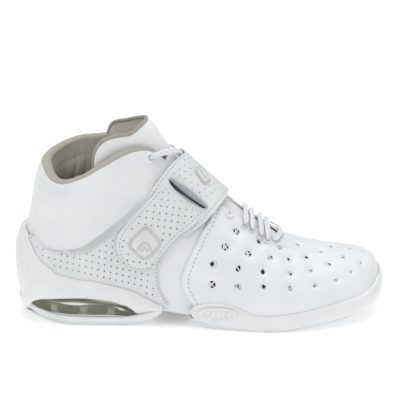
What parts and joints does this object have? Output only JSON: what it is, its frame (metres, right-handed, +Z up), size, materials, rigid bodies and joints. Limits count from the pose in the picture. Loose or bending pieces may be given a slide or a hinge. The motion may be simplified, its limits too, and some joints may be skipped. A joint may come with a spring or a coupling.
{
  "type": "basketball high top",
  "caption": "Right-foot basketball high top with a moulded forefoot cage, padded collar, instep strap through a slotted band, air-cushioned heel and split cup sole.",
  "frame": {"origin": "on the ground under the middle of the shoe's length and width", "axes": "+X towards the toe, +Z up, the lateral side at -Y (right foot)"},
  "size_m": [0.3068, 0.1124, 0.1684],
  "materials": {
    "rubber_white": "satin solid rubber with chevron tread",
    "tpu_grey": "moulded plastic, satin",
    "air_film": "clear tinted film, glossy",
    "air_core": "welded columns, translucent",
    "foam_white": "moulded EVA foam, matte",
    "shell_white": "coated foam shell, satin",
    "shank_dark": "satin",
    "badge_grey": "moulded, satin",
    "board_grey": "felt board, matte",
    "liner_grey": "knitted cover on foam, matte",
    "leather_white": "smooth full-grain, satin",
    "counter_tan": "thermoplastic stiffener, matte",
    "lining_grey": "ribbed mesh, matte",
    "foam_cream": "open-cell foam, matte",
    "panel_white": "perforated synthetic leather, satin",
    "mesh_grey": "open mesh, matte",
    "cage_white": "moulded synthetic leather, satin",
    "tongue_white": "synthetic leather, satin",
    "binding_grey": "overlocked edge tape, matte",
    "bar_bluegrey": "rubber-coated bar, satin",
    "hook_white": "hook tape",
    "loop_white": "loop tape",
    "eyelet_white": "moulded, satin",
    "lace_white": "flat woven lace, matte"
  },
  "bodies": {
    "shoe": {"outsole_heel": "rubber_white", "outsole_forefoot": "rubber_white", "heel_tray": "tpu_grey", "air_unit": "air_film", "air_columns": "air_core", "heel_foam": "foam_white", "heel_carrier": "shell_white", "shank_plate": "shank_dark", "forefoot_midsole": "foam_white", "forefoot_rand": "shell_white", "sole_badge": "badge_grey", "strobel_board": "board_grey", "quarter_lateral": "leather_white", "quarter_medial": "leather_white", "heel_counter": "counter_tan", "heel_lining": "lining_grey", "collar_foam": "foam_cream", "collar_lining": "lining_grey", "collar_rim": "lining_grey", "side_panel_lateral": "panel_white", "side_panel_medial": "panel_white", "toe_puff": "counter_tan", "vamp_bootie": "mesh_grey", "forefoot_cage": "cage_white", "tongue_lower": "tongue_white", "strap_root": "panel_white", "instep_band": "panel_white", "slot_bar": "bar_bluegrey", "band_emblem": "badge_grey", "loop_patch": "loop_white", "eyelets": "eyelet_white", "lace": "lace_white", "lace_loop": "lace_white"},
    "insole": {"sockliner": "liner_grey"},
    "tongue": {"tongue_shell": "tongue_white", "tongue_foam": "foam_cream", "tongue_lining": "lining_grey", "tongue_binding": "binding_grey"},
    "strap": {"strap_tip": "panel_white", "hook_patch": "hook_white", "strap_badge": "badge_grey"}
  },
  "joints": [
    {"name": "strap_peel", "type": "hinge", "parent": "shoe", "child": "strap", "pos_m": [-0.01127, -0.02814, 0.10473], "axis": [-0.8239, 0.0754, 0.5618], "range_deg": [0, 90]},
    {"name": "tongue_flex", "type": "hinge", "parent": "shoe", "child": "tongue", "pos_m": [-0.03095, 0.00073, 0.1435], "axis": [0, 1, 0], "range_deg": [-10, 10], "stiffness_Nm_per_rad": 0.2},
    {"name": "sockliner_lift", "type": "hinge", "parent": "shoe", "child": "insole", "pos_m": [0.137, 0, 0.0188], "axis": [0, 1, 0], "range_deg": [0, 6]}
  ]
}
